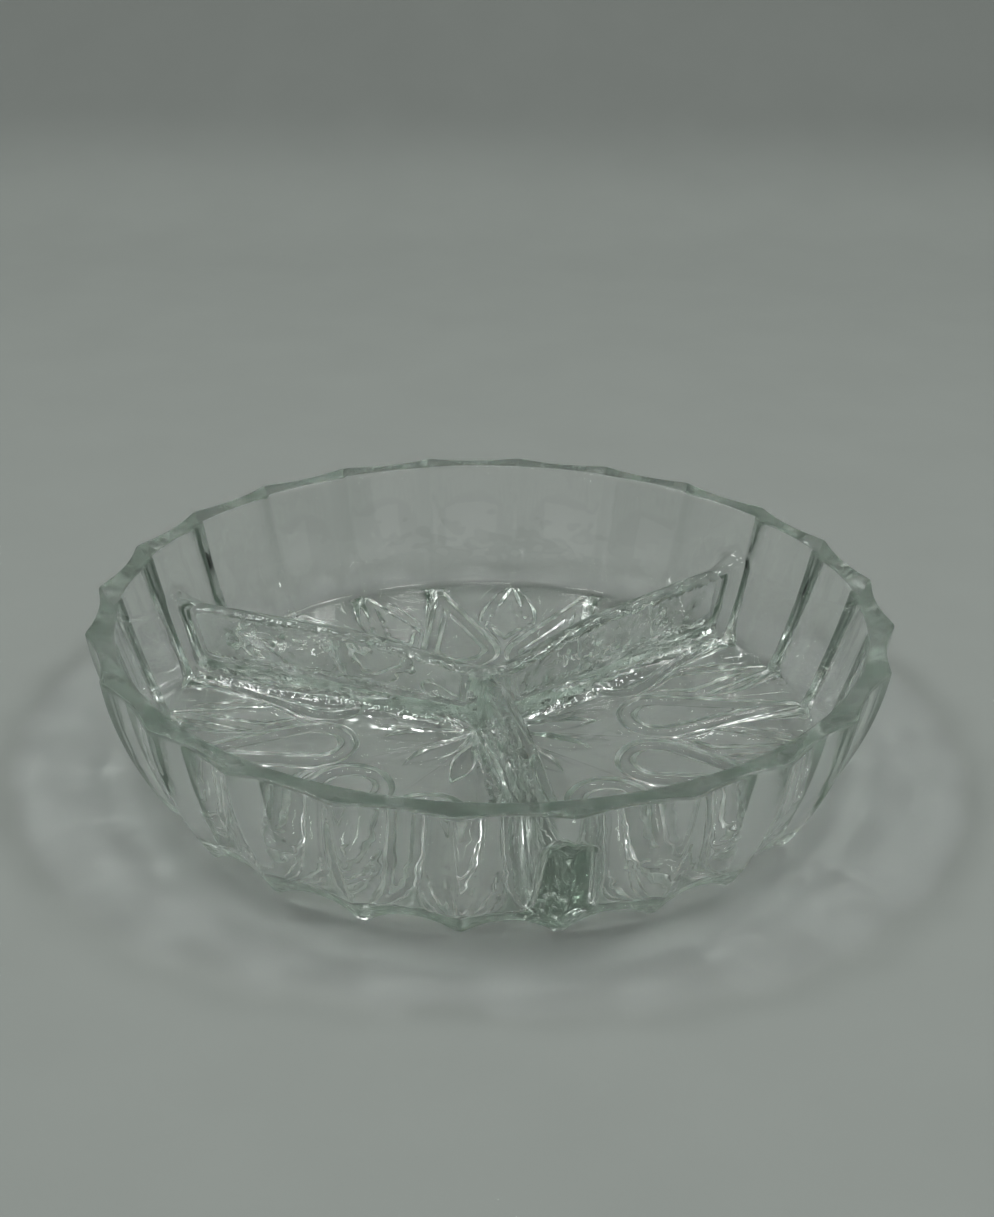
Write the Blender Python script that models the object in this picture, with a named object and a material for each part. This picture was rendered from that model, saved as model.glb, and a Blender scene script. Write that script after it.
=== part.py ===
"""Pressed glass serving dish: a round fluted dish with three compartments.

The dish is one pressing of clear glass. Its formed regions are kept as separate solids: the base
plate with its feet and underside pattern, the fluted wall, and the three dividers. Units are
metres, +Z is up, and the origin is the middle of the resting face on the table.
"""

from math import acos, atan2, cos, pi, radians, sin, sqrt, tan

import bmesh
import bpy
from mathutils import Matrix, Vector

# Outer form, measured over the ridge tips between the flutes
RIM_RADIUS = 0.105
FOOT_RADIUS = 0.0893
HEIGHT = 0.041
RIDGE_BULGE = 0.0027
FLUTE_COUNT = 24
RIM_FLUTE_DEPTH = 0.0019
FOOT_FLUTE_DEPTH = 0.0024

# Inside of the bowl
RIM_WALL = 0.0049
LOWER_WALL = 0.0033
RIM_ROUNDING = 0.0008
FLOOR_THICKNESS = 0.006
FLOOR_FILLET = 0.002

# Dividers, with heights above the floor
DIVIDER_HEIGHT = 0.0203
CENTRE_DIP = 0.0047
CENTRE_DIP_LENGTH = 0.042
WALL_RISE = 0.0024
WALL_RISE_LENGTH = 0.009
DIVIDER_TOP_WIDTH = 0.0052
DIVIDER_FOOT_WIDTH = 0.0095
DIVIDER_FILLET = 0.0042

# Feet and petals pressed into the underside
FOOT_ARCH_HEIGHT = 0.0032
FOOT_ARCH_LENGTH = 0.0265
FOOT_TIP_WIDTH = 0.0016
PETAL_COUNT = 12
PETAL_INNER_RADIUS = 0.0355
PETAL_POINT_INSET = 0.0055
PETAL_LAND = 0.0012
PETAL_GROOVE_WIDTH = 0.0058
PETAL_GROOVE_DEPTH = 0.0022
PETAL_FIELD_DEPTH = 0.0003

# Star in the middle of the underside
STAR_CLEAR_RING = 0.0055
STAR_RAY_LENGTH = 0.017
STAR_DEPTH = 0.0018

# Fit between neighbouring solids, and how far a cutter reaches past what it cuts
SEAM = 0.0003
CUTTER_REACH = 0.0002

# Facets, and the rounds that find where a divider meets the leaning wall
FLUTE_STEPS = 6
WALL_LEVELS = 7
RIM_STEPS = 2
FILLET_STEPS = 5
DIVIDER_STATIONS = 9
PROFILE_ARC_STEPS = 5
CONE_SIDES = 48
PETAL_END_STEPS = 10
PETAL_GROOVE_STEPS = 5
WALL_SEARCH_ROUNDS = 6

DIVIDER_DIRECTIONS = {"divider_front": 270.0, "divider_right": 30.0, "divider_left": 150.0}
GLASS_TINTS = {
    "base_plate": (0.62, 0.72, 0.66, 1.0),
    "fluted_wall": (0.66, 0.75, 0.70, 1.0),
    "divider_front": (0.58, 0.69, 0.63, 1.0),
    "divider_right": (0.58, 0.69, 0.63, 1.0),
    "divider_left": (0.58, 0.69, 0.63, 1.0),
}
GLASS_ROUGHNESS = 0.05
GLASS_IOR = 1.52
GLASS_TRANSMISSION = 0.9
WALL_SHARP_ANGLE = radians(24.0)
BASE_SHARP_ANGLE = radians(20.0)
DIVIDER_SHARP_ANGLE = radians(40.0)


def clear_scene():
    """Remove every object of the scene the script starts in."""
    for item in list(bpy.data.objects):
        bpy.data.objects.remove(item, do_unlink=True)


def new_collection(name):
    """Make a collection in the scene."""
    collection = bpy.data.collections.new(name)
    bpy.context.scene.collection.children.link(collection)
    return collection


def glass_material(name):
    """Make the pressed glass of one region, slightly green where it is thick."""
    material = bpy.data.materials.new(name + "_glass")
    material.use_nodes = True
    shader = material.node_tree.nodes["Principled BSDF"]
    shader.inputs["Base Color"].default_value = GLASS_TINTS[name]
    shader.inputs["Roughness"].default_value = GLASS_ROUGHNESS
    shader.inputs["Metallic"].default_value = 0.0
    shader.inputs["IOR"].default_value = GLASS_IOR
    shader.inputs["Transmission Weight"].default_value = GLASS_TRANSMISSION
    return material


def mesh_object(name, bm, collection):
    """Turn a bmesh into an object with its faces pointing out."""
    bmesh.ops.recalc_face_normals(bm, faces=bm.faces)
    if bm.calc_volume(signed=True) < 0.0:
        bmesh.ops.reverse_faces(bm, faces=bm.faces)
    mesh = bpy.data.meshes.new(name)
    bm.to_mesh(mesh)
    bm.free()
    item = bpy.data.objects.new(name, mesh)
    collection.objects.link(item)
    return item


def finish_part(item, smooth_angle):
    """Give a region its glass and its smooth shading."""
    item.data.materials.append(glass_material(item.name))
    item.data.shade_smooth()
    item.data.set_sharp_from_angle(angle=smooth_angle)


def finish_cutter(item):
    """Hide a cutting shape from renders and draw it as wires."""
    item.hide_render = True
    item.display_type = "WIRE"


def ridge_radius(height):
    """Radius of a ridge between two flutes: a lean with an outward bulge."""
    share = height / HEIGHT
    lean = FOOT_RADIUS + (RIM_RADIUS - FOOT_RADIUS) * share
    return lean + RIDGE_BULGE * 4.0 * share * (1.0 - share)


def flute_depth(height):
    """Depth of a flute below the straight line between its two ridges."""
    return FOOT_FLUTE_DEPTH + (RIM_FLUTE_DEPTH - FOOT_FLUTE_DEPTH) * height / HEIGHT


def valley_radius(height):
    """Radius at the bottom of a flute."""
    return ridge_radius(height) * cos(pi / FLUTE_COUNT) - flute_depth(height)


def wall_line():
    """Straight part of the inner wall: its radius at the fillet's height and its slope."""
    low = FLOOR_THICKNESS + FLOOR_FILLET
    low_radius = valley_radius(low) - LOWER_WALL
    rim_radius = valley_radius(HEIGHT) - RIM_WALL
    return low, low_radius, (rim_radius - low_radius) / (HEIGHT - low)


def fillet_centre():
    """Radius and height of the middle of the fillet between inner wall and floor."""
    low, low_radius, slope = wall_line()
    return low_radius - FLOOR_FILLET * sqrt(1.0 + slope * slope), low


def inner_radius(height):
    """Radius of the inside of the bowl: the leaning wall, then the fillet to the floor."""
    low, low_radius, slope = wall_line()
    centre_radius, centre_height = fillet_centre()
    tangent_height = centre_height - FLOOR_FILLET * slope / sqrt(1.0 + slope * slope)
    if height >= tangent_height:
        return low_radius + slope * (height - low)
    return centre_radius + sqrt(FLOOR_FILLET ** 2 - (centre_height - height) ** 2)


def polar(radius, angle, height):
    """Point at a radius, an angle and a height."""
    return Vector((radius * cos(angle), radius * sin(angle), height))


def fluted_loop(height, inset=0.0, radius_height=None):
    """Outline of the fluted body at one height, drawn in by an inset.

    The radii are those of radius_height, where the rim's rounding needs others than its height's.
    """
    source = height if radius_height is None else radius_height
    ridge = ridge_radius(source) - inset
    depth = flute_depth(source)
    pitch = 2.0 * pi / FLUTE_COUNT
    points = []
    for flute in range(FLUTE_COUNT):
        start = polar(ridge, flute * pitch, height)
        end = polar(ridge, (flute + 1) * pitch, height)
        inward = polar(-1.0, (flute + 0.5) * pitch, 0.0)
        for step in range(FLUTE_STEPS):
            share = step / FLUTE_STEPS
            points.append(start.lerp(end, share) + inward * depth * 4.0 * share * (1.0 - share))
    return points


def round_loop(radius, height):
    """Circle with one point for each point of the fluted outline."""
    count = FLUTE_COUNT * FLUTE_STEPS
    return [polar(radius, 2.0 * pi * index / count, height) for index in range(count)]


def add_loop(bm, points):
    """Add a loop of points to a bmesh."""
    return [bm.verts.new(point) for point in points]


def skin(bm, lower, upper):
    """Join two closed loops of as many points with a band of faces."""
    for index, vert in enumerate(lower):
        after = (index + 1) % len(lower)
        bm.faces.new((vert, lower[after], upper[after], upper[index]))


def build_wall(collection):
    """Loft the fluted wall: out along the seam, up the flutes, over the rim and down inside."""
    seat = FLOOR_THICKNESS + SEAM
    shoulder = HEIGHT - RIM_ROUNDING
    sections = []
    for level in range(WALL_LEVELS):
        sections.append(fluted_loop(seat + (shoulder - seat) * level / (WALL_LEVELS - 1)))
    arc = [pi / 2.0 * step / RIM_STEPS for step in range(RIM_STEPS + 1)]
    for angle in arc[1:]:
        inset = RIM_ROUNDING * (1.0 - cos(angle))
        sections.append(fluted_loop(shoulder + RIM_ROUNDING * sin(angle), inset, shoulder))
    for angle in reversed(arc):
        outset = RIM_ROUNDING * (1.0 - cos(angle))
        height = shoulder + RIM_ROUNDING * sin(angle)
        sections.append(round_loop(inner_radius(shoulder) + outset, height))
    centre_radius, centre_height = fillet_centre()
    slope = wall_line()[2]
    first = atan2(slope, 1.0)
    last = pi / 2.0 - acos((FLOOR_FILLET - SEAM) / FLOOR_FILLET)
    for step in range(FILLET_STEPS + 1):
        angle = first + (last - first) * step / FILLET_STEPS
        radius = centre_radius + FLOOR_FILLET * cos(angle)
        sections.append(round_loop(radius, centre_height - FLOOR_FILLET * sin(angle)))
    bm = bmesh.new()
    loops = [add_loop(bm, points) for points in sections]
    for lower, upper in zip(loops, loops[1:] + loops[:1]):
        skin(bm, lower, upper)
    wall = mesh_object("fluted_wall", bm, collection)
    finish_part(wall, WALL_SHARP_ANGLE)
    return wall


def foot_arch_cutter(index, collection):
    """Cone that gouges the arch between two feet and dies out in a point under the base."""
    angle = (index + 0.5) * 2.0 * pi / FLUTE_COUNT
    reach = FOOT_RADIUS * cos(pi / FLUTE_COUNT)
    half_width = FOOT_RADIUS * sin(pi / FLUTE_COUNT) - FOOT_TIP_WIDTH / 2.0
    rise = atan2(FOOT_ARCH_HEIGHT, FOOT_ARCH_LENGTH)
    spread = atan2(half_width, FOOT_ARCH_LENGTH)
    dive = atan2(cos(rise) - cos(spread), sin(rise))
    half_angle = dive + rise
    length = FOOT_ARCH_LENGTH + RIM_RADIUS - FOOT_RADIUS
    radius = length * tan(half_angle)
    bm = bmesh.new()
    bmesh.ops.create_cone(
        bm, cap_ends=True, segments=CONE_SIDES, radius1=radius, radius2=0.0, depth=length
    )
    # The tip moves to the origin and the axis runs out along +X, diving below the table
    to_tip = Matrix.Translation((0.0, 0.0, -length / 2.0))
    lie_down = Matrix.Rotation(-pi / 2.0, 4, "Y")
    half_side = Matrix.Rotation(pi / CONE_SIDES, 4, "X")
    tilt = Matrix.Rotation(dive, 4, "Y")
    place = Matrix.Translation((reach - FOOT_ARCH_LENGTH, 0.0, -CUTTER_REACH))
    turn = Matrix.Rotation(angle, 4, "Z")
    bm.transform(turn @ place @ tilt @ half_side @ lie_down @ to_tip)
    cutter = mesh_object("foot_arch_cutter_%02d" % index, bm, collection)
    finish_cutter(cutter)


def petal_outline():
    """Outline of a petal that points along +X: a round inner end and straight sides to a point.

    Its points are given from the middle of the round end, which comes with them, and so does its radius.
    """
    half_pitch = sin(pi / PETAL_COUNT)
    end_middle = (PETAL_INNER_RADIUS - PETAL_LAND / 2.0) / (1.0 - half_pitch)
    end_radius = end_middle - PETAL_INNER_RADIUS
    point = FOOT_RADIUS - PETAL_POINT_INSET - end_middle
    tangent = acos(end_radius / point)
    outline = [Vector((point, 0.0, 0.0))]
    for step in range(PETAL_END_STEPS + 1):
        angle = tangent + 2.0 * (pi - tangent) * step / PETAL_END_STEPS
        outline.append(polar(end_radius, angle, 0.0))
    return outline, end_middle, end_radius


def petal_cutter(index, collection):
    """Loft a petal's round groove inwards from its outline, to the nearly flat field in its middle."""
    outline, end_middle, end_radius = petal_outline()
    sections = [(0.0, -CUTTER_REACH)]
    for step in range(PETAL_GROOVE_STEPS + 1):
        share = step / PETAL_GROOVE_STEPS
        height = PETAL_FIELD_DEPTH * share + PETAL_GROOVE_DEPTH * sin(pi * share)
        sections.append((PETAL_GROOVE_WIDTH * share, height))
    bm = bmesh.new()
    loops = []
    for inset, height in sections:
        # Straight sides that touch a round end move in evenly when the outline shrinks about its middle
        shrink = (end_radius - inset) / end_radius
        loops.append(add_loop(bm, [point * shrink + Vector((0.0, 0.0, height)) for point in outline]))
    for lower, upper in zip(loops, loops[1:]):
        skin(bm, lower, upper)
    bm.faces.new(loops[0])
    bm.faces.new(loops[-1])
    place = Matrix.Translation((end_middle, 0.0, 0.0))
    turn = Matrix.Rotation(index * 2.0 * pi / PETAL_COUNT, 4, "Z")
    bm.transform(turn @ place)
    cutter = mesh_object("petal_cutter_%02d" % index, bm, collection)
    finish_cutter(cutter)


def star_cutter(collection):
    """Pointed star that rises to its middle, so that each ray is a groove with a crease."""
    tip = PETAL_INNER_RADIUS - STAR_CLEAR_RING
    notch = tip - STAR_RAY_LENGTH
    grown = (STAR_DEPTH + CUTTER_REACH) / STAR_DEPTH
    bm = bmesh.new()
    bmesh.ops.create_cone(
        bm, cap_ends=True, segments=2 * PETAL_COUNT, radius1=tip * grown, radius2=0.0,
        depth=STAR_DEPTH + CUTTER_REACH,
    )
    bm.transform(Matrix.Translation((0.0, 0.0, (STAR_DEPTH - CUTTER_REACH) / 2.0)))
    for vert in bm.verts:
        angle = atan2(vert.co.y, vert.co.x)
        ray = round(angle * 2 * PETAL_COUNT / (2.0 * pi))
        if vert.co.z < 0.0:
            radius = (tip if ray % 2 == 0 else notch) * grown
            vert.co = polar(radius, ray * pi / PETAL_COUNT, vert.co.z)
    cutter = mesh_object("star_cutter", bm, collection)
    finish_cutter(cutter)


def build_base(collection, cutters):
    """Loft the base plate and press the foot arches, petals and star into its underside."""
    bm = bmesh.new()
    heights = (FLOOR_THICKNESS, FLOOR_THICKNESS / 2.0, 0.0)
    loops = [add_loop(bm, fluted_loop(height)) for height in heights]
    for upper, lower in zip(loops, loops[1:]):
        skin(bm, lower, upper)
    bm.faces.new(loops[0])
    bm.faces.new(loops[-1])
    base = mesh_object("base_plate", bm, collection)
    for index in range(FLUTE_COUNT):
        foot_arch_cutter(index, cutters)
    for index in range(PETAL_COUNT):
        petal_cutter(index, cutters)
    star_cutter(cutters)
    press = base.modifiers.new("underside", "BOOLEAN")
    press.operation = "DIFFERENCE"
    press.operand_type = "COLLECTION"
    press.collection = cutters
    press.solver = "EXACT"
    finish_part(base, BASE_SHARP_ANGLE)
    return base


def ease(share):
    """Smooth step from 0 to 1."""
    clamped = min(max(share, 0.0), 1.0)
    return clamped * clamped * (3.0 - 2.0 * clamped)


def divider_height(along):
    """Height of a divider's top above the floor, low in the middle and rising to the wall."""
    wall = inner_radius(FLOOR_THICKNESS + DIVIDER_HEIGHT)
    dip = CENTRE_DIP * (1.0 - ease(along / CENTRE_DIP_LENGTH))
    rise = WALL_RISE * ease(1.0 - (wall - along) / WALL_RISE_LENGTH)
    return DIVIDER_HEIGHT - dip + rise


def divider_half_profile():
    """Half section of a divider from its foot to its top: fillet, leaning side, round top."""
    top = DIVIDER_TOP_WIDTH / 2.0
    foot = DIVIDER_FOOT_WIDTH / 2.0
    lean = atan2(foot - top, DIVIDER_HEIGHT - top)
    middle = foot + DIVIDER_FILLET * (1.0 - sin(lean)) / cos(lean)
    first = acos((DIVIDER_FILLET - SEAM) / DIVIDER_FILLET)
    last = pi / 2.0 - lean
    points = []
    for step in range(PROFILE_ARC_STEPS + 1):
        angle = first + (last - first) * step / PROFILE_ARC_STEPS
        points.append((middle - DIVIDER_FILLET * sin(angle), DIVIDER_FILLET * (1.0 - cos(angle))))
    for step in range(PROFILE_ARC_STEPS + 1):
        angle = lean + (pi / 2.0 - lean) * step / PROFILE_ARC_STEPS
        points.append((top * cos(angle), DIVIDER_HEIGHT - top + top * sin(angle)))
    return points


def divider_point(offset, share, rise):
    """Point of a divider that runs along +X, between the mitre in the middle and the wall."""
    mitre = len(DIVIDER_DIRECTIONS)
    start = abs(offset) / tan(pi / mitre) + SEAM / 2.0 / sin(pi / mitre)
    along = start
    for _ in range(WALL_SEARCH_ROUNDS):
        height = FLOOR_THICKNESS + max(rise * divider_height(along), SEAM)
        wall = inner_radius(height) - SEAM
        along = start + (sqrt(wall * wall - offset * offset) - start) * share
    return Vector((along, offset, height))


def build_divider(name, direction, collection):
    """Loft one divider from the mitre in the middle of the dish to the wall."""
    profile = divider_half_profile()
    right = [(offset, height / DIVIDER_HEIGHT) for offset, height in profile[:-1]]
    left = [(-offset, rise) for offset, rise in reversed(right)]
    section = [(0.0, 0.0)] + right + [(0.0, 1.0)] + left
    bm = bmesh.new()
    loops = []
    for station in range(DIVIDER_STATIONS):
        share = ease(station / (DIVIDER_STATIONS - 1))
        loops.append(add_loop(bm, [divider_point(offset, share, rise) for offset, rise in section]))
    for lower, upper in zip(loops, loops[1:]):
        skin(bm, lower, upper)
    crown = len(section) // 2
    bm.faces.new(loops[0][: crown + 1])
    bm.faces.new(loops[0][crown:] + loops[0][:1])
    end = loops[-1]
    bm.faces.new((end[0], end[1], end[-1]))
    for index in range(1, crown - 1):
        bm.faces.new((end[index], end[index + 1], end[-index - 1], end[-index]))
    bm.faces.new((end[crown - 1], end[crown], end[crown + 1]))
    bm.transform(Matrix.Rotation(radians(direction), 4, "Z"))
    divider = mesh_object(name, bm, collection)
    finish_part(divider, DIVIDER_SHARP_ANGLE)
    return divider


def main():
    """Build the dish."""
    clear_scene()
    dish = new_collection("pressed_glass_dish")
    cutters = new_collection("underside_cutters")
    build_base(dish, cutters)
    build_wall(dish)
    for name, direction in DIVIDER_DIRECTIONS.items():
        build_divider(name, direction, dish)


main()
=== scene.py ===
"""Studio scene of a pressed glass dish with three compartments, built over its CAD frame.

The real dish is one pressing, so the glass is one closed skin: the compartments inside, the flat rim,
the fluted wall outside, and the petals and star pressed into the underside. Lengths are in metres. A
guard is an extra row of points close beside an edge, which keeps the edge's shading off the flat glass.
"""

import logging
import math
from dataclasses import dataclass
from dataclasses import field
from enum import Enum
from typing import Any

import bmesh
import bpy
import numpy as np
from mathutils import Matrix
from mathutils import Vector


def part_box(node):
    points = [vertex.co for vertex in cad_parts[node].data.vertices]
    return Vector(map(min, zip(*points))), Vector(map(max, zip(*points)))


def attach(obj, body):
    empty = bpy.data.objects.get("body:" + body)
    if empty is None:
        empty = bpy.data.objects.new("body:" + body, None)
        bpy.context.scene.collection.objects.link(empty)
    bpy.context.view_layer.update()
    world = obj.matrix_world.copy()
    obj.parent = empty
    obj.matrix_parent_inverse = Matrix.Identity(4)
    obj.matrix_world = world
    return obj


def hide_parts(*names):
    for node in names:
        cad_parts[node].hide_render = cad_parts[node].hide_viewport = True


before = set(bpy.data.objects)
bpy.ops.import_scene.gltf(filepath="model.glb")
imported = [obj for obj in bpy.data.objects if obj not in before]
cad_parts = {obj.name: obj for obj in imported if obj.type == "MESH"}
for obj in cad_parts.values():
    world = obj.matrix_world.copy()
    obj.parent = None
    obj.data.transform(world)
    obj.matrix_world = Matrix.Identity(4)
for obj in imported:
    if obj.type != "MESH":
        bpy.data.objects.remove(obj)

LOG = logging.getLogger("dish")
MM = 0.001
IMAGE_SIZE = (994, 1217)
VIEW_AZIMUTH = math.radians(-11.0565)
GLASS_NODES = ("base_plate", "fluted_wall", "divider_front", "divider_left", "divider_right")


class DividerHeading(Enum):
    """Direction in which each divider runs from the middle, in degrees from +X."""

    RIGHT = 30.0
    LEFT = 150.0
    FRONT = 270.0


def linear_colour(code: str) -> tuple[float, float, float, float]:
    """Turns an sRGB hex colour into linear values.

    Args:
        code: Colour as "#RRGGBB".

    Returns:
        Linear red, green, blue and an alpha of 1.
    """
    values = []
    for start in (1, 3, 5):
        level = int(code[start:start + 2], 16) / 255.0
        values.append(level / 12.92 if level <= 0.04045 else ((level + 0.055) / 1.055) ** 2.4)
    return (values[0], values[1], values[2], 1.0)


def add_node(
    tree: bpy.types.NodeTree,
    kind: str,
    settings: dict[str, Any] | None = None,
    inputs: dict[str | int, Any] | None = None,
    links: dict[str | int, bpy.types.NodeSocket] | None = None,
) -> bpy.types.Node:
    """Adds one node with its settings, its constant inputs and its links.

    Args:
        tree: Node tree that gets the node.
        kind: Blender's type name of the node.
        settings: Properties of the node itself.
        inputs: Constant values by input socket name or number.
        links: Output sockets to link, by input socket name or number.

    Returns:
        The new node.
    """
    node = tree.nodes.new(kind)
    for name, value in (settings or {}).items():
        setattr(node, name, value)
    for name, value in (inputs or {}).items():
        node.inputs[name].default_value = value
    for name, source in (links or {}).items():
        tree.links.new(source, node.inputs[name])
    return node


def add_noise(
    tree: bpy.types.NodeTree, place: bpy.types.Node, size: float, detail: float, roughness: float = 0.5,
) -> bpy.types.NodeSocket:
    """Adds a noise of a given size.

    Args:
        tree: Node tree that gets it.
        place: Texture coordinates.
        size: Size of its features in metres.
        detail: Number of finer octaves.
        roughness: How strong the finer octaves are.

    Returns:
        The noise's output socket.
    """
    node = add_node(
        tree, "ShaderNodeTexNoise",
        inputs={"Scale": 1.0 / size, "Detail": detail, "Roughness": roughness},
        links={"Vector": place.outputs["Object"]},
    )
    return node.outputs["Fac"]


def add_step(
    tree: bpy.types.NodeTree, value: bpy.types.NodeSocket, limits: tuple[float, float],
    ends: tuple[float, float] = (0.0, 1.0),
) -> bpy.types.NodeSocket:
    """Adds a smooth step.

    Args:
        tree: Node tree that gets it.
        value: Number that rises.
        limits: Where the step starts and stops.
        ends: What it gives before and after.

    Returns:
        The step's output socket.
    """
    node = add_node(
        tree, "ShaderNodeMapRange", settings={"interpolation_type": "SMOOTHSTEP"},
        inputs={"From Min": limits[0], "From Max": limits[1], "To Min": ends[0], "To Max": ends[1]},
        links={"Value": value},
    )
    return node.outputs["Result"]


def combine(
    tree: bpy.types.NodeTree, operation: str, *values: bpy.types.NodeSocket,
) -> bpy.types.NodeSocket:
    """Joins several numbers into one, two at a time.

    Args:
        tree: Node tree that gets the nodes.
        operation: Blender's name of the operation.
        values: Numbers to join.

    Returns:
        The last node's output socket.
    """
    total = values[0]
    for value in values[1:]:
        node = add_node(
            tree, "ShaderNodeMath", settings={"operation": operation}, links={0: total, 1: value},
        )
        total = node.outputs["Value"]
    return total


def spread(count: int, gather: float = 0.0) -> np.ndarray:
    """Numbers from 0 to 1 that may crowd towards both ends.

    Args:
        count: Number of steps.
        gather: 0 for even steps, 1 for steps that shrink to nothing at the ends.

    Returns:
        count + 1 rising numbers.
    """
    even = np.linspace(0.0, 1.0, count + 1)
    return (1.0 - gather) * even + gather * (0.5 - 0.5 * np.cos(np.pi * even))


def ease(value: np.ndarray) -> np.ndarray:
    """Smooth step of a number that is cut to 0 to 1."""
    cut = np.clip(value, 0.0, 1.0)
    return cut * cut * (3.0 - 2.0 * cut)


def rounded(start: np.ndarray, corner: np.ndarray, end: np.ndarray, t: float) -> np.ndarray:
    """Places at t on the curve that rounds off a corner between two edges."""
    return (1.0 - t) ** 2 * start + 2.0 * t * (1.0 - t) * corner + t**2 * end


def soft_groove(share: np.ndarray) -> np.ndarray:
    """Height of a groove with soft edges, as a share of its depth, across its width from 0 to 1."""
    return np.sin(np.pi * np.clip(share, 0.0, 1.0))


def crisp_groove(share: np.ndarray) -> np.ndarray:
    """Height of a groove that is half an oval, steep at its edges, across its width from 0 to 1."""
    return 2.0 * np.sqrt(share * (1.0 - share))


def smooth_max(first: np.ndarray, second: np.ndarray, width: float) -> np.ndarray:
    """Larger of two numbers, with the change from one to the other rounded over a width."""
    near = np.maximum(width - np.abs(first - second), 0.0) / width
    return np.maximum(first, second) + near * near * width / 4.0


class GlassSkin:
    """Vertices and faces of one closed skin, made ring by ring."""

    crease_angle: float = math.radians(38.0)
    weld_distance: float = 0.004 * MM
    sliver_size: float = 0.001 * MM
    angle_slack: float = 1e-6

    def __init__(self) -> None:
        """Starts with no vertices and no faces."""
        self.points: list[np.ndarray] = []
        self.faces: list[tuple[int, ...]] = []
        self.count = 0

    def ring(self, points: np.ndarray) -> np.ndarray:
        """Adds the points of a ring.

        Args:
            points: Array of n by 3 places in metres.

        Returns:
            The indices of the new vertices.
        """
        indices = np.arange(self.count, self.count + len(points))
        self.points.append(points)
        self.count += len(points)
        return indices

    def bridge(self, first: np.ndarray, second: np.ndarray) -> None:
        """Joins two closed rings of the same count with quads.

        Args:
            first: Indices of one ring.
            second: Indices of the other.
        """
        after_first = np.roll(first, -1)
        after_second = np.roll(second, -1)
        self.faces.extend(zip(first.tolist(), after_first.tolist(), after_second.tolist(), second.tolist()))

    def bridge_strips(self, first: np.ndarray, second: np.ndarray) -> None:
        """Joins two rows of open strips, each an array of strips by points, with quads."""
        corners = (first[:, :-1], first[:, 1:], second[:, 1:], second[:, :-1])
        self.faces.extend(zip(*(corner.ravel().tolist() for corner in corners)))

    def stitch(self, first: np.ndarray, second: np.ndarray) -> None:
        """Joins two closed rings of unlike counts, on flat glass, with triangles in order of angle.

        Args:
            first: Indices of the ring that sets where the turn starts.
            second: Indices of the other ring.
        """
        places = np.concatenate(self.points)
        start = math.atan2(places[first[0], 1], places[first[0], 0])
        turns = []
        for ring in (first, second):
            angle = np.arctan2(places[ring, 1], places[ring, 0]) - start + self.angle_slack
            turns.append(np.mod(angle, 2.0 * np.pi))
        shift = int(np.argmin(turns[1]))
        second = np.roll(second, -shift)
        turns = [np.append(angle, 2.0 * np.pi) for angle in (turns[0], np.roll(turns[1], -shift))]
        i = 0
        j = 0
        while i < len(first) or j < len(second):
            a = int(first[i % len(first)])
            b = int(second[j % len(second)])
            step_first = j >= len(second) or (i < len(first) and turns[0][i + 1] <= turns[1][j + 1])
            if step_first:
                i += 1
                self.faces.append((a, int(first[i % len(first)]), b))
            else:
                j += 1
                self.faces.append((a, int(second[j % len(second)]), b))

    def mesh(self, name: str) -> bpy.types.Mesh:
        """Makes the closed mesh, with doubled points joined and smooth shading between its creases.

        Args:
            name: Name of the mesh.

        Returns:
            The mesh, with its faces turned outwards.
        """
        mesh = bpy.data.meshes.new(name)
        mesh.from_pydata(np.concatenate(self.points).tolist(), [], self.faces)
        work = bmesh.new()
        work.from_mesh(mesh)
        bmesh.ops.remove_doubles(work, verts=work.verts, dist=self.weld_distance)
        bmesh.ops.dissolve_degenerate(work, edges=work.edges, dist=self.sliver_size)
        bmesh.ops.recalc_face_normals(work, faces=work.faces)
        open_edges = sum(1 for edge in work.edges if len(edge.link_faces) != 2)
        for edge in work.edges:
            edge.smooth = edge.calc_face_angle(0.0) < self.crease_angle
        LOG.info("%s: %d faces, %d open edges", name, len(work.faces), open_edges)
        work.to_mesh(mesh)
        work.free()
        mesh.polygons.foreach_set("use_smooth", np.ones(len(mesh.polygons), dtype=bool))
        return mesh


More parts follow.
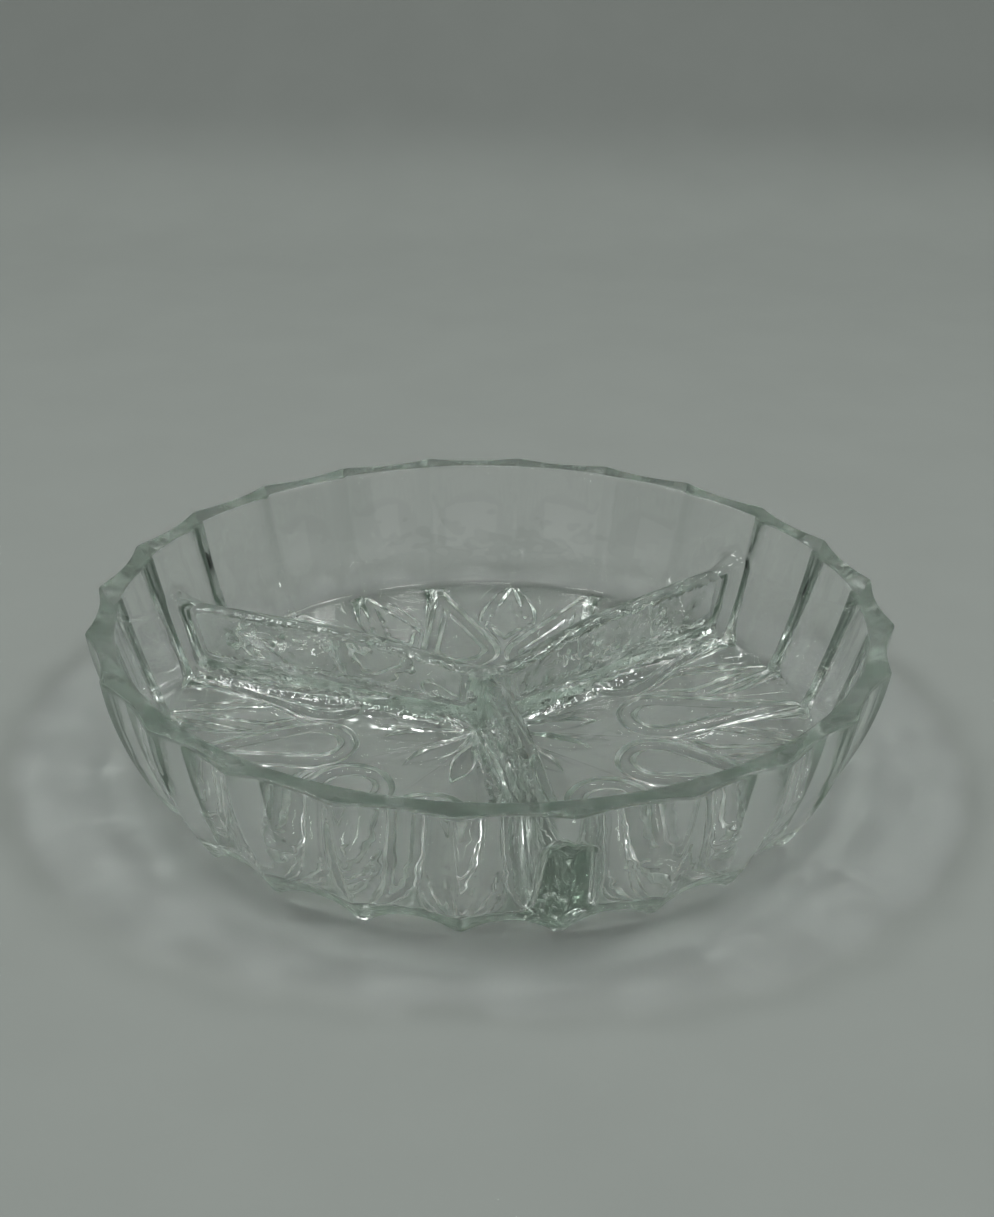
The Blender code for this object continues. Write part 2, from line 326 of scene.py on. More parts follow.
@dataclass
class FlutedWall:
    """Outside of the leaning wall: hollow flutes between ridges that a flame has softened."""

    rim_radius: float
    height: float
    foot_radius: float = 89.3 * MM
    ridge_bulge: float = 2.7 * MM
    flutes: int = 24
    rim_flute_depth: float = 1.9 * MM
    foot_flute_depth: float = 2.4 * MM
    ridge_rounding: float = 1.0 * MM
    ridge_band: float = 1.0 * MM
    rim_rounding: float = 0.8 * MM
    arch_height: float = 3.2 * MM
    arch_power: float = 2.6
    edge_rounding: float = 0.7 * MM
    ridge_columns: int = 6
    flute_columns: int = 14
    land_columns: int = 8
    ridge_gather: float = 0.3
    flute_gather: float = 0.75
    wall_rows: int = 15
    edge_rows: int = 8
    rim_rows: int = 6
    rim_guards: tuple[float, float] = (1.5, 1.15)
    row_guard: float = 0.005

    @property
    def half_pitch(self) -> float:
        """Angle from a ridge to the middle of the flute beside it."""
        return math.pi / self.flutes

    @property
    def band_angle(self) -> float:
        """Angle of the narrow band of columns beside each ridge."""
        return self.ridge_band / self.foot_radius

    def ridge_radius(self, z: np.ndarray) -> np.ndarray:
        """Radius of the ridges.

        Args:
            z: Heights in metres.

        Returns:
            Radii on a line from foot to rim that bulges out a little in its middle.
        """
        t = z / self.height
        straight = self.foot_radius + (self.rim_radius - self.foot_radius) * t
        return straight + self.ridge_bulge * 4.0 * t * (1.0 - t)

    def flute_depth(self, z: np.ndarray) -> np.ndarray:
        """Depth of the flutes below a straight line from ridge to ridge, at height z."""
        return self.foot_flute_depth + (self.rim_flute_depth - self.foot_flute_depth) * z / self.height

    def valley_radius(self, z: np.ndarray) -> np.ndarray:
        """Radius at the middle of a flute, at height z."""
        return self.ridge_radius(z) * math.cos(self.half_pitch) - self.flute_depth(z)

    def from_valley(self, z: np.ndarray, turn: np.ndarray) -> np.ndarray:
        """Angle from the middle of the flute, with the ridge rounded off.

        Args:
            z: Heights in metres.
            turn: Angles from a ridge in radians.

        Returns:
            Angles from 0 at the middle of a flute to nearly the half pitch at a ridge.
        """
        half = self.half_pitch
        plain = np.abs(np.mod(turn, 2.0 * half) - half)
        softness = self.ridge_rounding / self.ridge_radius(z)
        return half - np.sqrt((half - plain) ** 2 + softness**2)

    def radius(self, z: np.ndarray, turn: np.ndarray) -> np.ndarray:
        """Outer radius of the fluted wall.

        Args:
            z: Heights in metres.
            turn: Angles from a ridge in radians.

        Returns:
            Radii, largest at the ridges and smallest in the middle of the flutes.
        """
        off = self.from_valley(z, turn)
        chord = self.ridge_radius(z) * math.cos(self.half_pitch) / np.cos(off)
        return chord - self.flute_depth(z) * (1.0 - (off / self.half_pitch) ** 2)

    def arch(self, turn: np.ndarray) -> np.ndarray:
        """Height of the lower edge, which arches up between the feet."""
        off = self.from_valley(np.zeros_like(turn), turn)
        return self.arch_height * (1.0 - np.abs(off / self.half_pitch) ** self.arch_power)

    def columns(self) -> np.ndarray:
        """Places the columns of one pitch, close together at its ridges.

        Returns:
            Angles from a ridge with a petal to the next ridge.
        """
        pitch = 2.0 * self.half_pitch
        band = self.band_angle
        first = band * spread(self.ridge_columns, self.ridge_gather)
        middle = band + (pitch - 2.0 * band) * spread(self.flute_columns, self.flute_gather)
        last = pitch - band + band * spread(self.land_columns, self.ridge_gather)
        return np.concatenate((first[:-1], middle[:-1], last))

    def around(self, turn: np.ndarray, radius: np.ndarray, z: np.ndarray) -> np.ndarray:
        """Repeats one pitch, mirrored at its ridges, all the way round.

        Args:
            turn: Angles of one pitch's points from the ridge with a petal.
            radius: Their radii.
            z: Their heights.

        Returns:
            Array of n by 3 places, in order of angle.
        """
        pairs = self.flutes // 2
        period = 4.0 * self.half_pitch
        angle = np.concatenate((turn[:-1], period - turn[:0:-1]))
        angles = np.concatenate([angle + period * k for k in range(pairs)])
        radii = np.tile(np.concatenate((radius[:-1], radius[:0:-1])), pairs)
        heights = np.tile(np.concatenate((z[:-1], z[:0:-1])), pairs)
        return np.column_stack((radii * np.cos(angles), radii * np.sin(angles), heights))

    def rows(self) -> list[np.ndarray]:
        """Makes the rings of the wall.

        Returns:
            Places of each ring, from the flat rim down to the start of the rounded lower edge.
        """
        turn = self.columns()
        top = np.full_like(turn, self.height)
        edge = self.radius(top, turn)
        shoulder = top - self.rim_rounding
        rings = [self.around(turn, edge - self.rim_rounding * share, top) for share in self.rim_guards]
        start = self.around(turn, edge - self.rim_rounding, top)
        rings.append(start)
        corner = self.around(turn, edge, top)
        end = self.around(turn, self.radius(shoulder, turn), shoulder)
        for t in spread(self.rim_rows)[1:-1]:
            rings.append(rounded(start, corner, end, t))
        low = self.arch(turn) + self.edge_rounding
        guard = self.row_guard
        for t in np.concatenate(([0.0, guard], spread(self.wall_rows)[1:-1], [1.0 - guard, 1.0])):
            z = shoulder + (low - shoulder) * t
            rings.append(self.around(turn, self.radius(z, turn), z))
        return rings


@dataclass
class PressedUnderside:
    """Underside of the base: flutes that run to points, petals between them and a star in the middle."""

    wall: FlutedWall
    petal_inner_radius: float = 35.5 * MM
    petal_land: float = 0.5 * MM
    petal_depth: float = 0.2 * MM
    groove_depth: float = 2.2 * MM
    groove_width: float = 5.8 * MM
    groove_loops: int = 10
    kite_groove_depth: float = 0.7 * MM
    kite_groove_width: float = 3.6 * MM
    petal_end_angle: float = math.radians(100.0)
    flute_reach: float = 0.66
    flute_fall: float = 1.5
    star_tip: float = 30.0 * MM
    star_notch: float = 13.0 * MM
    star_bulge: float = 1.8 * MM
    star_land: float = 0.3 * MM
    star_wall: float = 0.5 * MM
    star_depth: float = 1.0 * MM
    star_slope: float = 0.12
    star_rings: tuple[float, ...] = (
        0.0, 0.01, 0.02, 0.035, 0.055, 0.09, 0.16, 0.28, 0.45, 0.65, 0.85, 1.0,
    )
    guard: float = 0.5 * MM
    rows: int = 52
    row_gather: float = 0.15
    row_power: float = 1.25
    row_guard: float = 0.003
    end_columns: int = 12
    star_columns: int = 9
    land_gather: float = 0.4
    land_share: tuple[float, float] = (0.12, 0.4)
    kite_taper: tuple[float, float] = (0.8, 0.18)
    kite_samples: tuple[int, int] = (80, 60)
    star_samples: int = 120

    @property
    def petal_round(self) -> tuple[float, float]:
        """Finds a petal's round end, which leaves a narrow land to the petals beside it.

        Returns:
            How far its middle lies from the dish's axis, and its radius.
        """
        sine = math.sin(2.0 * self.wall.half_pitch)
        middle = (self.petal_inner_radius - self.petal_land) / (1.0 - sine)
        return middle, middle * sine - self.petal_land

    def petal_side(self) -> tuple[np.ndarray, float]:
        """Finds a petal's straight side.

        Returns:
            Where it starts at the foot, and the angle at which it meets the round end.
        """
        band = np.array([self.wall.band_angle])
        start = self.wall.radius(np.zeros(1), band)[0]
        foot = np.array((start * math.cos(band[0]), start * math.sin(band[0])))
        middle, radius = self.petal_round
        gap = math.hypot(foot[0] - middle, foot[1])
        return foot, math.atan2(foot[1], foot[0] - middle) + math.acos(radius / gap)

    def side_path(self, share: np.ndarray) -> np.ndarray:
        """Places along a petal's side, from its foot round to the end of the side.

        Args:
            share: Shares of the length, from 0 to 1.

        Returns:
            Array of n by 2 places.
        """
        foot, turn = self.petal_side()
        middle, radius = self.petal_round
        meet = np.array((middle + radius * math.cos(turn), radius * math.sin(turn)))
        straight = math.dist(foot, meet)
        bend = radius * (self.petal_end_angle - turn)
        along = share * (straight + bend)
        line = foot + (meet - foot) * np.minimum(along / straight, 1.0)[:, None]
        angle = turn + np.maximum(along - straight, 0.0) / radius
        arc = np.column_stack((middle + radius * np.cos(angle), radius * np.sin(angle)))
        return np.where((along <= straight)[:, None], line, arc)

    def patch(self, share: np.ndarray, across: np.ndarray, sides: tuple[np.ndarray, np.ndarray],
              ends: tuple[np.ndarray, np.ndarray]) -> np.ndarray:
        """Fills four edges with a grid.

        Args:
            share: Rising numbers of the rows, from 0 to 1.
            across: Rising numbers of the columns, one row of them for each row.
            sides: First and last column of places.
            ends: Near and far edge, each as places for every number in across.

        Returns:
            Array of rows by columns by 2 places.
        """
        u = across[:, :, None]
        s = share[:, None, None]
        ruled = (1.0 - u) * sides[0][:, None, :] + u * sides[1][:, None, :]
        near = (1.0 - u) * sides[0][0] + u * sides[1][0]
        far = (1.0 - u) * sides[0][-1] + u * sides[1][-1]
        return ruled + (1.0 - s) * (ends[0] - near) + s * (ends[1] - far)

    def foot_edge(self, turn: np.ndarray) -> np.ndarray:
        """Places on the sharp lower edge of the wall, seen from below."""
        radius = self.wall.radius(self.wall.arch(turn), turn)
        return np.stack((radius * np.cos(turn), radius * np.sin(turn)), axis=-1)

    def fluted_field(self, share: np.ndarray) -> tuple[np.ndarray, np.ndarray]:
        """Grid of the flute and half the kite beside a petal, from the feet to the petals' round ends.

        Args:
            share: Rows, from 0 at the feet to 1 at the round ends.

        Returns:
            Places of rows by columns by 2, and their heights.
        """
        wall = self.wall
        turn = wall.columns()[wall.ridge_columns:]
        side = self.side_path(share)
        pitch = 2.0 * wall.half_pitch
        land_start = self.foot_edge(turn)[-1]
        land_end = self.petal_round[0] * math.cos(pitch) * np.array((math.cos(pitch), math.sin(pitch)))
        land = land_start + (land_end - land_start) * share[:, None]
        true_split = 1.0 - share / self.flute_reach
        past = ease((share - self.flute_reach) / (1.0 - self.flute_reach))
        relaxed = self.land_share[0] + self.land_share[1] * past
        span = (turn[-1] - wall.band_angle) - turn[0]
        split = np.maximum(true_split * span / (turn[-1] - turn[0]), relaxed)
        hollow = spread(wall.flute_columns, wall.flute_gather)[None, :] * split[:, None]
        land_steps = spread(wall.land_columns, self.land_gather)[None, 1:]
        rest = split[:, None] + (1.0 - split[:, None]) * land_steps
        across = np.concatenate((hollow, rest), axis=1)
        near = self.foot_edge(turn[0] + (turn[-1] - turn[0]) * across)
        far = side[-1] + (land[-1] - side[-1]) * across[:, :, None]
        places = self.patch(share, across, (side, land), (near, far))
        inside = across / np.maximum(true_split, 1e-6)[:, None]
        shape = np.where(inside < 1.0, 1.0 - np.abs(2.0 * inside - 1.0) ** wall.arch_power, 0.0)
        heights = wall.arch_height * (np.clip(true_split, 0.0, 1.0) ** self.flute_fall)[:, None] * shape
        taper = 1.0 - ease((share - self.kite_taper[0]) / self.kite_taper[1])
        heights = heights + self.kite_height(places) * (across > split[:, None]) * taper[:, None]
        return places, heights

    def kite_height(self, places: np.ndarray) -> np.ndarray:
        """Height of the round groove along the sides of the kite between two flutes.

        Args:
            places: Places of rows by columns by 2.

        Returns:
            Heights of rows by columns.
        """
        wall = self.wall
        foot = self.foot_edge(np.array([2.0 * wall.half_pitch - wall.band_angle]))[0]
        tip = self.side_path(np.array([self.flute_reach]))[0]
        flute_side = foot + (tip - foot) * spread(self.kite_samples[0])[:, None]
        past_tip = self.flute_reach + (1.0 - self.flute_reach) * spread(self.kite_samples[1])
        petal_side = self.side_path(past_tip)
        edge = np.concatenate((flute_side, petal_side))
        flat = places.reshape(-1, 2)
        gap = np.hypot(*(flat[:, None, :] - edge[None, :, :]).transpose(2, 0, 1)).min(axis=1)
        return self.kite_groove_depth * soft_groove(gap.reshape(places.shape[:-1]) / self.kite_groove_width)

    def ring(self, places: np.ndarray, z: np.ndarray) -> np.ndarray:
        """Repeats one pitch's places all the way round."""
        x, y = places.T
        return self.wall.around(np.arctan2(y, x), np.hypot(x, y), z)

    def strips(self, places: np.ndarray, z: np.ndarray) -> np.ndarray:
        """Repeats one row of the field, mirrored at the ridge without a petal, as strips between petals.

        Args:
            places: Places of one row, from the petal's side.
            z: Their heights.

        Returns:
            Array of strips by points by 3 places.
        """
        whole = self.ring(np.concatenate((places[:1], places)), np.concatenate((z[:1], z)))
        return whole.reshape(self.wall.flutes // 2, -1, 3)[:, 1:]

    def add_petals(
        self, skin: GlassSkin, foot: np.ndarray, rows: list[np.ndarray], end: np.ndarray,
    ) -> None:
        """Adds each petal as loops that shrink from its outline across the groove to a flat middle.

        Args:
            skin: Skin that gets the loops.
            foot: Indices of the ring through the feet.
            rows: Indices of the strips between the petals, from the feet to the round ends.
            end: Indices of the ring through the round ends.
        """
        places = np.concatenate(skin.points)
        middle, radius = self.petal_round
        count = self.wall.flutes // 2
        for k in range(count):
            arcs = []
            for ring, half in ((foot, self.wall.ridge_columns), (end, self.end_columns)):
                first = k * len(ring) // count
                arcs.append(np.take(ring, np.arange(first - half, first + half + 1), mode="wrap"))
            right = [row[k, 0] for row in rows[1:-1]]
            left = [row[k - 1, -1] for row in rows[-2:0:-1]]
            last = np.concatenate((arcs[0], right, arcs[1][::-1], left)).astype(int)
            turn = 2.0 * math.pi * k / count
            centre = np.array((middle * math.cos(turn), middle * math.sin(turn), 0.0))
            outline = places[last] - centre
            for share in spread(self.groove_loops, 1.0)[1:]:
                shrink = 1.0 - share * self.groove_width / radius
                height = self.petal_depth * share + self.groove_depth * crisp_groove(share)
                fresh = skin.ring(centre + outline * shrink + np.array((0.0, 0.0, height)))
                skin.bridge(last, fresh)
                last = fresh
            skin.faces.append(tuple(last.tolist()))

    def star_outline(self, columns: int) -> tuple[np.ndarray, np.ndarray]:
        """Angles and radii of half a ray of the star, from its tip to the notch beside it.

        Args:
            columns: Number of steps along it.

        Returns:
            Angles from the middle of the ray, and radii.
        """
        turn = 2.0 * self.wall.half_pitch
        t = spread(columns, 0.5)
        tip = np.array((self.star_tip, 0.0))
        notch = self.star_notch * np.array((math.cos(turn), math.sin(turn)))
        chord = notch - tip
        out = np.array((chord[1], -chord[0])) / np.hypot(*chord)
        places = tip + chord * t[:, None] + out * (self.star_bulge * 4.0 * t * (1.0 - t))[:, None]
        return np.arctan2(places[:, 1], places[:, 0]), np.hypot(places[:, 0], places[:, 1])

    def star_height(self, angle: np.ndarray, radius: np.ndarray) -> np.ndarray:
        """Height of the star's hollow: creased leaves with steep sides, and narrow lands between them.

        Args:
            angle: Angles from the middle of a ray.
            radius: Radii from the dish's axis.

        Returns:
            Heights above the flat of the underside.
        """
        edge_angle, edge_radius = self.star_outline(self.star_samples)
        edge = np.column_stack((edge_radius * np.cos(edge_angle), edge_radius * np.sin(edge_angle)))
        places = np.column_stack((radius * np.cos(angle), radius * np.sin(angle)))
        gap = np.hypot(*(places[:, None, :] - edge[None, :, :]).transpose(2, 0, 1)).min(axis=1)
        beside = radius * np.sin(2.0 * self.wall.half_pitch - angle) - self.star_land
        inside = np.maximum(np.minimum(gap, beside), 0.0)
        return self.star_depth * ease(inside / self.star_wall) + self.star_slope * inside

    def build(self, skin: GlassSkin, above: np.ndarray, wall_end: np.ndarray) -> None:
        """Adds the rounded lower edge, the field, the petals, the flat ring and the star to the skin.

        Args:
            skin: Skin that gets the rings.
            above: Indices of the wall's last ring.
            wall_end: Places of the wall's last ring.
        """
        wall = self.wall
        turn = wall.columns()
        cut = wall.ridge_columns
        corner = self.ring(self.foot_edge(turn), wall.arch(turn))
        start = wall.edge_rounding / (wall.foot_radius - self.petal_inner_radius)
        steps = start + (1.0 - start) * (1.0 - (1.0 - spread(self.rows, self.row_gather)) ** self.row_power)
        share = np.concatenate(([0.0, start, start + self.row_guard], steps[1:]))
        places, heights = self.fluted_field(share)
        across_foot = np.column_stack((np.ones(cut), np.arange(cut) / cut)) * places[1][0]
        inner_places = np.concatenate((across_foot, places[1]))
        inner = self.ring(inner_places, np.concatenate((np.zeros(cut), heights[1])))
        foot = above
        for t in spread(wall.edge_rows)[1:]:
            fresh = skin.ring(rounded(wall_end, corner, inner, t))
            skin.bridge(foot, fresh)
            foot = fresh

        pairs = wall.flutes // 2
        rows = [foot.reshape(pairs, -1)[:, cut:1 - cut]]
        for row in range(2, len(share) - 1):
            strips = self.strips(places[row], heights[row])
            rows.append(skin.ring(strips.reshape(-1, 3)).reshape(pairs, -1))
        middle, radius = self.petal_round
        bend = np.pi + (self.petal_end_angle - np.pi) * spread(self.end_columns)[:-1]
        round_end = np.column_stack((middle + radius * np.cos(bend), radius * np.sin(bend)))
        last_row = np.concatenate((round_end, places[-1]))
        end = skin.ring(self.ring(last_row, np.zeros(len(last_row))))
        rows.append(end.reshape(pairs, -1)[:, self.end_columns:1 - self.end_columns])
        for above_row, row in zip(rows, rows[1:]):
            skin.bridge_strips(above_row, row)
        self.add_petals(skin, foot, rows, end)

        inward = last_row * (1.0 - self.guard / np.hypot(last_row[:, 0], last_row[:, 1]))[:, None]
        last = skin.ring(self.ring(inward, np.zeros(len(inward))))
        skin.bridge(end, last)
        angle, outline = self.star_outline(self.star_columns)
        outside = skin.ring(wall.around(angle, outline + self.guard, 0.0 * outline))
        skin.stitch(last, outside)
        last = outside
        for t in self.star_rings:
            radius = outline * (1.0 - t)
            fresh = skin.ring(wall.around(angle, radius, self.star_height(angle, radius)))
            skin.bridge(last, fresh)
            last = fresh


@dataclass
class Compartments:
    """Inside of the dish: a flat floor, a smooth leaning wall and three round-topped dividers."""

    wall: FlutedWall
    floor: float
    rim_wall: float = 4.9 * MM
    lower_wall: float = 3.3 * MM
    floor_fillet: float = 2.0 * MM
    divider_height: float = 20.3 * MM
    centre_dip: float = 4.7 * MM
    centre_dip_length: float = 42.0 * MM
    wall_rise: float = 2.4 * MM
    wall_rise_length: float = 9.0 * MM
    divider_top_width: float = 5.2 * MM
    divider_foot_width: float = 9.5 * MM
    divider_fillet: float = 6.0 * MM
    corner_fillet: float = 5.0 * MM
    crown_overshoot: float = 2.0
    fan_columns: int = 30
    floor_rows: int = 30
    floor_gather: float = 0.7
    wall_rows: int = 30
    wall_fillet_rows: int = 10
    crown_lines: int = 7
    side_lines: int = 7
    fillet_lines: int = 8
    toe_guards: tuple[float, float] = (0.6 * MM, 1.8 * MM)
    rim_guard: float = 0.15 * MM
    search_top: float = 1.2
    halvings: int = 44
    seams: list[float] = field(default_factory=lambda: sorted(item.value for item in DividerHeading))

    def wall_line(self) -> tuple[float, float, float, float]:
        """Finds the straight line of the inner wall, above its fillet.

        Returns:
            Foot radius, foot height, lean, and the radius of the fillet's middle.
        """
        low = self.floor + self.floor_fillet
        base = float(self.wall.valley_radius(np.array(low))) - self.lower_wall
        top = float(self.wall.valley_radius(np.array(self.wall.height))) - self.rim_wall
        lean = (top - base) / (self.wall.height - low)
        middle = base - self.floor_fillet * math.hypot(1.0, lean)
        return base, low, lean, middle

    def wall_radius(self, z: np.ndarray) -> np.ndarray:
        """Radius of the inner wall, with its fillet to the floor.

        Args:
            z: Heights in metres.

        Returns:
            Radii in metres.
        """
        base, low, lean, middle = self.wall_line()
        fillet = self.floor_fillet
        meet = low - fillet * lean / math.hypot(1.0, lean)
        drop = np.clip(low - z, 0.0, fillet)
        curve = middle + np.sqrt(fillet**2 - drop**2)
        return np.where(z < meet, curve, base + lean * (z - low))

    def divider_scale(self, along: np.ndarray) -> np.ndarray:
        """Height of a divider, which dips towards the middle and rises where it meets the wall.

        Args:
            along: Distances from the middle of the dish.

        Returns:
            Shares of the plain height.
        """
        dip = self.centre_dip * (1.0 - ease(along / self.centre_dip_length))
        reach = float(self.wall_radius(np.array(self.floor + self.divider_height)))
        rise = self.wall_rise * ease(1.0 - (reach - along) / self.wall_rise_length)
        return (self.divider_height - dip + rise) / self.divider_height

    def divider_half_width(self, y: np.ndarray) -> np.ndarray:
        """Half the width of a divider: a round crown, leaning sides and a fillet to the floor.

        Args:
            y: Heights above the floor, where the divider has its plain height.

        Returns:
            Half widths, and negative numbers above the crown.
        """
        high = self.divider_height
        foot = self.divider_foot_width / 2.0
        slope = (foot - self.divider_top_width / 2.0) / high
        steep = math.hypot(1.0, slope)
        crown = (foot - slope * high) / (steep - slope)
        crown_meet = high - crown + crown * slope / steep
        fillet = self.divider_fillet
        toe = foot - slope * fillet + fillet * steep
        fillet_meet = fillet - fillet * slope / steep
        line = foot - slope * y
        top = np.sqrt(np.maximum(crown**2 - (y - (high - crown)) ** 2, 0.0))
        low = toe - np.sqrt(np.maximum(fillet**2 - (fillet - np.minimum(y, fillet)) ** 2, 0.0))
        width = np.where(y > crown_meet, top, np.where(y < fillet_meet, low, line))
        return np.where(y > high, -self.crown_overshoot * (y - high), width)

    def glass_at(self, x: np.ndarray, y: np.ndarray, z: np.ndarray) -> np.ndarray:
        """Signed depth inside the glass, as seen from a compartment.

        Args:
            x: Places along the first divider.
            y: Places across it.
            z: Heights.

        Returns:
            Positive numbers inside the glass, negative ones in the open compartment.
        """
        total = np.hypot(x, y) - self.wall_radius(z)
        for turn in (0.0, 2.0 * math.pi / 3.0, 4.0 * math.pi / 3.0):
            along = x * math.cos(turn) + y * math.sin(turn)
            beside = y * math.cos(turn) - x * math.sin(turn)
            apart = np.hypot(np.minimum(along, 0.0), beside)
            scale = self.divider_scale(np.maximum(along, 0.0))
            width = self.divider_half_width((z - self.floor) / scale)
            total = smooth_max(total, width - apart, self.corner_fillet)
        return total

    def surface(self, x: np.ndarray, y: np.ndarray) -> np.ndarray:
        """Finds the height of the inside by halving.

        Args:
            x: Places along the first divider.
            y: Places across it.

        Returns:
            Heights in metres.
        """
        low = np.full_like(x, self.floor)
        high = np.full_like(x, self.wall.height * self.search_top)
        for _ in range(self.halvings):
            middle = 0.5 * (low + high)
            inside = self.glass_at(x, y, middle) > 0.0
            low = np.where(inside, middle, low)
            high = np.where(inside, high, middle)
        return low

    def offsets(self) -> np.ndarray:
        """Places the grid's lines beside a divider, on its crown, side, fillet and toe.

        Returns:
            Distances from the middle of the divider.
        """
        high = self.divider_height
        crown = self.divider_top_width / 2.0
        levels = np.concatenate((
            high - crown * (1.0 - np.cos(0.5 * np.pi * spread(self.crown_lines))),
            np.linspace(high - crown, self.divider_fillet, self.side_lines)[1:],
            self.divider_fillet * (1.0 - np.sin(0.5 * np.pi * spread(self.fillet_lines)[1:])),
        ))
        lines = self.divider_half_width(levels)
        lines[0] = 0.0
        return np.concatenate((lines, [lines[-1] + guard for guard in self.toe_guards]))

    def grid(self) -> tuple[np.ndarray, np.ndarray]:
        """Plan of half a compartment, from the middle of a divider to the line between two dividers.

        Returns:
            Places along and across the divider, rows by columns.
        """
        offsets = self.offsets()
        sixty = math.pi / 3.0
        floor_edge = self.wall_line()[3]
        pole = offsets[-1] / math.sin(sixty)
        first_angle = math.asin(offsets[-1] / floor_edge)
        fan = first_angle + (sixty - first_angle) * spread(self.fan_columns)[1:]
        starts_x = np.concatenate((offsets / math.tan(sixty), np.full(len(fan), pole * math.cos(sixty))))
        starts_y = np.concatenate((offsets, np.full(len(fan), pole * math.sin(sixty))))
        ends_x = np.concatenate((np.sqrt(floor_edge**2 - offsets**2), floor_edge * np.cos(fan)))
        ends_y = np.concatenate((offsets, floor_edge * np.sin(fan)))
        t = spread(self.floor_rows, self.floor_gather)[:, None]
        x = starts_x + (ends_x - starts_x) * t
        y = starts_y + (ends_y - starts_y) * t
        fillet = self.floor_fillet * (1.0 - np.cos(0.5 * np.pi * spread(self.wall_fillet_rows)[1:]))
        top = self.wall.height - self.wall.rim_rounding
        levels = np.concatenate((
            self.floor + fillet,
            np.linspace(self.floor + self.floor_fillet, top, self.wall_rows)[1:-1],
            (top - self.rim_guard, top),
        ))
        radii = self.wall_radius(levels)[:, None]
        wall_x = np.concatenate((np.sqrt(radii**2 - offsets**2), radii * np.cos(fan)), axis=1)
        wall_y = np.concatenate((np.tile(offsets, (len(levels), 1)), radii * np.sin(fan)), axis=1)
        return np.concatenate((x, wall_x)), np.concatenate((y, wall_y))

    def around(self, x: np.ndarray, y: np.ndarray, z: np.ndarray) -> np.ndarray:
        """Repeats half a compartment's row, mirrored at its sides, all the way round.

        Args:
            x: Places along a divider.
            y: Places across it.
            z: Heights.

        Returns:
            Array of n by 3 places, in order of angle.
        """
        turn = np.arctan2(y, x)
        radius = np.hypot(x, y)
        third = 2.0 * math.pi / 3.0
        turns = np.concatenate((turn[:-1], third - turn[:0:-1]))
        radii = np.concatenate((radius[:-1], radius[:0:-1]))
        heights = np.concatenate((z[:-1], z[:0:-1]))
        parts = []
        for heading in self.seams:
            angle = math.radians(heading) + turns
            parts.append(np.column_stack((radii * np.cos(angle), radii * np.sin(angle), heights)))
        return np.concatenate(parts)

    def build(self, skin: GlassSkin) -> np.ndarray:
        """Adds the inside to the skin, up to the flat rim.

        Args:
            skin: Skin that gets the rings.

        Returns:
            Indices of the last ring, on the flat rim.
        """
        x, y = self.grid()
        z = self.surface(x, y)
        last = None
        for row in range(len(x)):
            fresh = skin.ring(self.around(x[row], y[row], z[row]))
            if last is not None:
                skin.bridge(last, fresh)
            last = fresh
        rounding = self.wall.rim_rounding
        top = self.wall.height
        edge = float(self.wall_radius(np.array(top)))
        radius = np.hypot(x[-1], y[-1])
        start = self.around(x[-1], y[-1], z[-1])
        corner = self.around(x[-1] / radius * edge, y[-1] / radius * edge, np.full_like(radius, top))
        outer = (edge + rounding) / radius
        end = self.around(x[-1] * outer, y[-1] * outer, np.full_like(radius, top))
        for t in spread(self.wall.rim_rows)[1:]:
            fresh = skin.ring(rounded(start, corner, end, t))
            skin.bridge(last, fresh)
            last = fresh
        for share in reversed(self.wall.rim_guards):
            outer = (edge + rounding * share) / radius
            fresh = skin.ring(self.around(x[-1] * outer, y[-1] * outer, np.full_like(radius, top)))
            skin.bridge(last, fresh)
            last = fresh
        return last


